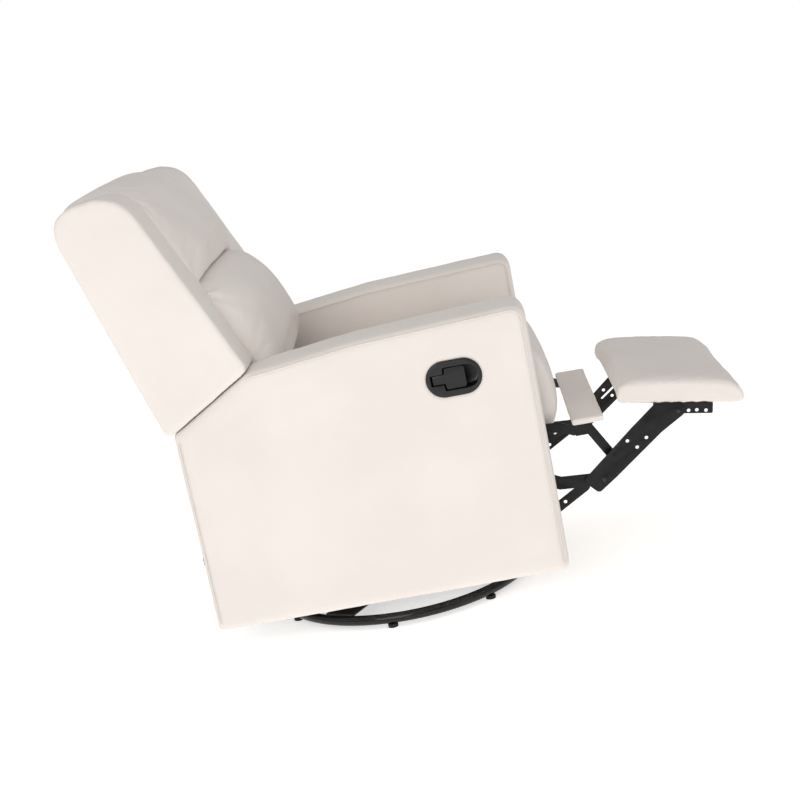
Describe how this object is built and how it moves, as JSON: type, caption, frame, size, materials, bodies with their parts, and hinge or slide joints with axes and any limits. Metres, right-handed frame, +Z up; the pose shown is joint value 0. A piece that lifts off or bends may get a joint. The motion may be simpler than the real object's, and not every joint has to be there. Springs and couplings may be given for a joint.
{
  "type": "recliner armchair",
  "caption": "Upholstered swivel glider recliner armchair with a pull-out footrest linkage, a pillow back and a steel ring base.",
  "frame": {"origin": "on the floor at the middle of the chair's box, with the footrest open", "axes": "+X forward from the sitter, +Y to the sitter's left, +Z up"},
  "size_m": [1.307, 0.764, 1.0362],
  "materials": {
    "fabric": "smooth cream polyester with a fine weave",
    "wood": "bare plywood, hidden inside",
    "black_steel": "satin black powder coat",
    "ring_paint": "gloss black paint",
    "black_plastic": "moulded, slightly glossy",
    "rubber": "matt",
    "spring_steel": "bare wire"
  },
  "bodies": {
    "base": {"ring_tube": "ring_paint", "base_cross": "black_steel", "swivel_bearing": "black_steel", "floor_glide_1": "rubber", "floor_glide_2": "rubber", "floor_glide_3": "rubber", "floor_glide_4": "rubber", "floor_glide_5": "rubber", "floor_glide_6": "rubber", "floor_glide_7": "rubber", "floor_glide_8": "rubber"},
    "swivel_frame": {"turning_plate": "black_steel", "glider_hanger_right": "black_steel", "glider_hanger_left": "black_steel"},
    "front_glider_links": {"front_glider_link_right": "black_steel", "front_glider_link_left": "black_steel"},
    "rear_glider_links": {"rear_glider_link_right": "black_steel", "rear_glider_link_left": "black_steel"},
    "carriage": {"arm_cover_right": "fabric", "arm_cover_left": "fabric", "arm_frame_right": "wood", "arm_frame_left": "wood", "handle_bezel": "black_plastic", "front_stretcher": "wood", "rear_stretcher": "wood", "rear_panel": "fabric", "glider_rail_right": "black_steel", "glider_rail_left": "black_steel", "seat_track_right": "black_steel", "seat_track_left": "black_steel", "back_pivot_right": "black_steel", "back_pivot_left": "black_steel"},
    "back": {"back_side_panel_right": "fabric", "back_side_panel_left": "fabric", "back_rear_cover": "fabric", "back_frame": "wood", "lumbar_pillow": "fabric", "head_pillow": "fabric", "back_bracket_right": "black_steel", "back_bracket_left": "black_steel"},
    "seat": {"seat_frame": "wood", "seat_spring_1": "spring_steel", "seat_spring_2": "spring_steel", "seat_spring_3": "spring_steel", "seat_cushion": "fabric", "mechanism_plate_right": "black_steel", "mechanism_plate_left": "black_steel"},
    "lower_links": {"lower_link_right": "black_steel", "lower_link_left": "black_steel"},
    "upper_links": {"upper_link_right": "black_steel", "upper_link_left": "black_steel", "footrest_flap": "fabric"},
    "long_links": {"long_link_right": "black_steel", "long_link_left": "black_steel"},
    "footrest_board": {"pad_bracket_right": "black_steel", "pad_bracket_left": "black_steel", "pad_board": "wood", "footrest_pad": "fabric"},
    "paddle": {"release_paddle": "black_plastic"}
  },
  "joints": [
    {"name": "base_swivel", "type": "hinge", "parent": "base", "child": "swivel_frame", "pos_m": [-0.125, 0, 0.042], "axis": [0, 0, 1], "continuous": true},
    {"name": "front_glide", "type": "hinge", "parent": "swivel_frame", "child": "front_glider_links", "pos_m": [0.015, 0, 0.178], "axis": [0, 1, 0], "range_deg": [-20, 20]},
    {"name": "carriage_hang", "type": "hinge", "parent": "front_glider_links", "child": "carriage", "pos_m": [0.015, 0, 0.078], "axis": [0, 1, 0], "range_deg": [-20, 20]},
    {"name": "rear_glide", "type": "hinge", "parent": "swivel_frame", "child": "rear_glider_links", "pos_m": [-0.265, 0, 0.178], "axis": [0, 1, 0], "range_deg": [-20, 20]},
    {"name": "back_recline", "type": "hinge", "parent": "carriage", "child": "back", "pos_m": [-0.451, 0, 0.42], "axis": [0, -1, 0], "range_deg": [0, 35]},
    {"name": "seat_slide", "type": "slide", "parent": "carriage", "child": "seat", "axis": [1, 0, 0], "range_m": [0, 0.05]},
    {"name": "footrest_fold", "type": "hinge", "parent": "seat", "child": "lower_links", "pos_m": [0.131, 0, 0.287], "axis": [0, 1, 0], "range_deg": [0, 113]},
    {"name": "footrest_knee", "type": "hinge", "parent": "lower_links", "child": "long_links", "pos_m": [0.34, 0, 0.223], "axis": [0, 1, 0], "range_deg": [-100, 0]},
    {"name": "footrest_tilt", "type": "hinge", "parent": "long_links", "child": "footrest_board", "pos_m": [0.515, 0, 0.34], "axis": [0, 1, 0], "range_deg": [0, 67]},
    {"name": "footrest_upper", "type": "hinge", "parent": "seat", "child": "upper_links", "pos_m": [0.148, 0, 0.358], "axis": [0, 1, 0], "range_deg": [0, 98.5]},
    {"name": "paddle_pull", "type": "hinge", "parent": "carriage", "child": "paddle", "pos_m": [0.0335, -0.373, 0.53], "axis": [0, 0, -1], "range_deg": [0, 25], "stiffness_Nm_per_rad": 0.5}
  ],
  "couplings": [
    {"joint": "carriage_hang", "follows": "front_glide", "ratio": -1},
    {"joint": "rear_glide", "follows": "front_glide", "ratio": 1},
    {"joint": "seat_slide", "follows": "back_recline", "m_per_rad": 0.0818},
    {"joint": "footrest_knee", "follows": "footrest_fold", "ratio": -0.8837},
    {"joint": "footrest_tilt", "follows": "footrest_fold", "ratio": 0.5885},
    {"joint": "footrest_upper", "follows": "footrest_fold", "ratio": 0.867}
  ]
}
